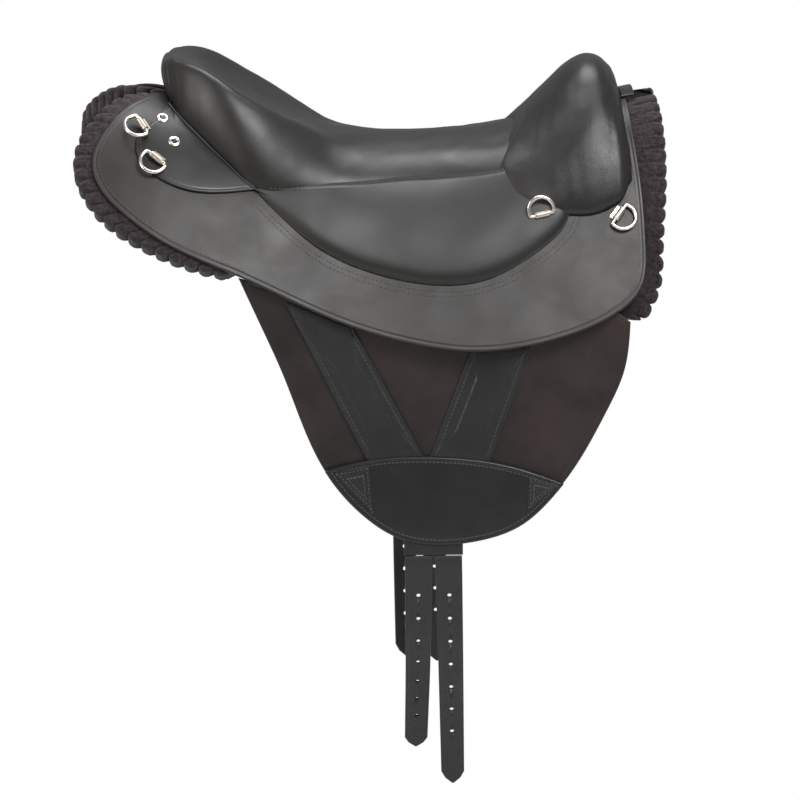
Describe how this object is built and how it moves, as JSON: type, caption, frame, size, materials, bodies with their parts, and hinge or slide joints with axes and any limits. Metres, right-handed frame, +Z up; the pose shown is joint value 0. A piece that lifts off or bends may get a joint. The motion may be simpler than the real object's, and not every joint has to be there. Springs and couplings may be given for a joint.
{
  "type": "endurance saddle",
  "caption": "Leather endurance riding saddle with raised cantle, padded pommel, wool panels, hanging flaps, girth billets and dee rings.",
  "frame": {"origin": "on the horse's back, on the middle line, under the middle of the seat", "axes": "+X towards the horse's head, +Y to its left, +Z up"},
  "size_m": [0.6047, 0.4052, 0.725],
  "materials": {
    "black_leather": "satin, smooth grain",
    "strap_leather": "satin, pebbled grain",
    "soft_leather": "semi-gloss, soft grain",
    "wool_felt": "matte, fibrous",
    "nickel": "bright plated",
    "steel": "plain",
    "tree_plastic": "matte",
    "foam": "matte, soft"
  },
  "bodies": {
    "saddle": {"tree_shell": "tree_plastic", "gullet_plate": "steel", "cantle_plate": "steel", "gullet_rivets": "steel", "cantle_rivets": "steel", "stirrup_rivets": "steel", "seat_foam": "foam", "seat_cover": "soft_leather", "pommel_foam": "foam", "pommel_cover": "soft_leather", "front_binding": "black_leather", "cantle_eyelets": "nickel", "rear_ring_clips": "nickel", "front_ring_clips": "nickel", "wool_panel_right": "wool_felt", "wool_panel_left": "wool_felt", "skirt_right": "black_leather", "skirt_left": "black_leather", "side_panel_right": "black_leather", "side_panel_left": "black_leather", "cantle_patch_right": "black_leather", "cantle_patch_left": "black_leather", "stirrup_bar_right": "steel", "stirrup_bar_left": "steel", "flap_web_right": "black_leather", "flap_web_left": "black_leather"},
    "flap_right": {"sweat_flap_right": "black_leather", "rear_rigging_strap_right": "strap_leather", "front_rigging_strap_right": "strap_leather", "girth_patch_right": "black_leather", "billet_yoke_right": "strap_leather"},
    "flap_left": {"sweat_flap_left": "black_leather", "rear_rigging_strap_left": "strap_leather", "front_rigging_strap_left": "strap_leather", "girth_patch_left": "black_leather", "billet_yoke_left": "strap_leather"},
    "rear_billet_right": {"rear_billet_right": "strap_leather"},
    "front_billet_right": {"front_billet_right": "strap_leather"},
    "rear_upper_ring_right": {"rear_upper_ring_right": "nickel"},
    "rear_lower_ring_right": {"rear_lower_ring_right": "nickel"},
    "front_upper_ring_right": {"front_upper_ring_right": "nickel"},
    "front_lower_ring_right": {"front_lower_ring_right": "nickel"},
    "rear_billet_left": {"rear_billet_left": "strap_leather"},
    "front_billet_left": {"front_billet_left": "strap_leather"},
    "rear_upper_ring_left": {"rear_upper_ring_left": "nickel"},
    "rear_lower_ring_left": {"rear_lower_ring_left": "nickel"},
    "front_upper_ring_left": {"front_upper_ring_left": "nickel"},
    "front_lower_ring_left": {"front_lower_ring_left": "nickel"}
  },
  "joints": [
    {"name": "flap_right_swing", "type": "hinge", "parent": "saddle", "child": "flap_right", "pos_m": [0, -0.15846, -0.095], "axis": [-1, 0, 0], "range_deg": [0, 12]},
    {"name": "rear_billet_right_hinge", "type": "hinge", "parent": "flap_right", "child": "rear_billet_right", "pos_m": [0.05, -0.20031, -0.3547], "axis": [-1, 0, 0], "range_deg": [-25, 75]},
    {"name": "front_billet_right_hinge", "type": "hinge", "parent": "flap_right", "child": "front_billet_right", "pos_m": [0.081, -0.20031, -0.3547], "axis": [-1, 0, 0], "range_deg": [-25, 75]},
    {"name": "rear_upper_ring_right_hinge", "type": "hinge", "parent": "saddle", "child": "rear_upper_ring_right", "pos_m": [-0.229, -0.08443, 0.07672], "axis": [-0.488, 0.6341, 0.5998], "range_deg": [0, 115]},
    {"name": "rear_lower_ring_right_hinge", "type": "hinge", "parent": "saddle", "child": "rear_lower_ring_right", "pos_m": [-0.214, -0.11243, 0.04742], "axis": [-0.7586, 0.376, 0.5321], "range_deg": [0, 115]},
    {"name": "front_upper_ring_right_hinge", "type": "hinge", "parent": "saddle", "child": "front_upper_ring_right", "pos_m": [0.179, -0.12931, -0.01095], "axis": [0.9725, 0.0907, 0.2146], "range_deg": [0, 110]},
    {"name": "front_lower_ring_right_hinge", "type": "hinge", "parent": "saddle", "child": "front_lower_ring_right", "pos_m": [0.258, -0.12557, -0.01189], "axis": [-0.6002, -0.3954, -0.6952], "range_deg": [0, 115]},
    {"name": "flap_left_swing", "type": "hinge", "parent": "saddle", "child": "flap_left", "pos_m": [0, 0.15846, -0.095], "axis": [1, 0, 0], "range_deg": [0, 12]},
    {"name": "rear_billet_left_hinge", "type": "hinge", "parent": "flap_left", "child": "rear_billet_left", "pos_m": [0.05, 0.20031, -0.3547], "axis": [1, 0, 0], "range_deg": [-25, 75]},
    {"name": "front_billet_left_hinge", "type": "hinge", "parent": "flap_left", "child": "front_billet_left", "pos_m": [0.081, 0.20031, -0.3547], "axis": [1, 0, 0], "range_deg": [-25, 75]},
    {"name": "rear_upper_ring_left_hinge", "type": "hinge", "parent": "saddle", "child": "rear_upper_ring_left", "pos_m": [-0.229, 0.08443, 0.07672], "axis": [0.488, 0.6341, -0.5998], "range_deg": [0, 115]},
    {"name": "rear_lower_ring_left_hinge", "type": "hinge", "parent": "saddle", "child": "rear_lower_ring_left", "pos_m": [-0.214, 0.11243, 0.04742], "axis": [0.7586, 0.376, -0.5321], "range_deg": [0, 115]},
    {"name": "front_upper_ring_left_hinge", "type": "hinge", "parent": "saddle", "child": "front_upper_ring_left", "pos_m": [0.179, 0.12931, -0.01095], "axis": [-0.9725, 0.0907, -0.2146], "range_deg": [0, 110]},
    {"name": "front_lower_ring_left_hinge", "type": "hinge", "parent": "saddle", "child": "front_lower_ring_left", "pos_m": [0.258, 0.12557, -0.01189], "axis": [0.6002, -0.3954, 0.6952], "range_deg": [0, 115]}
  ]
}
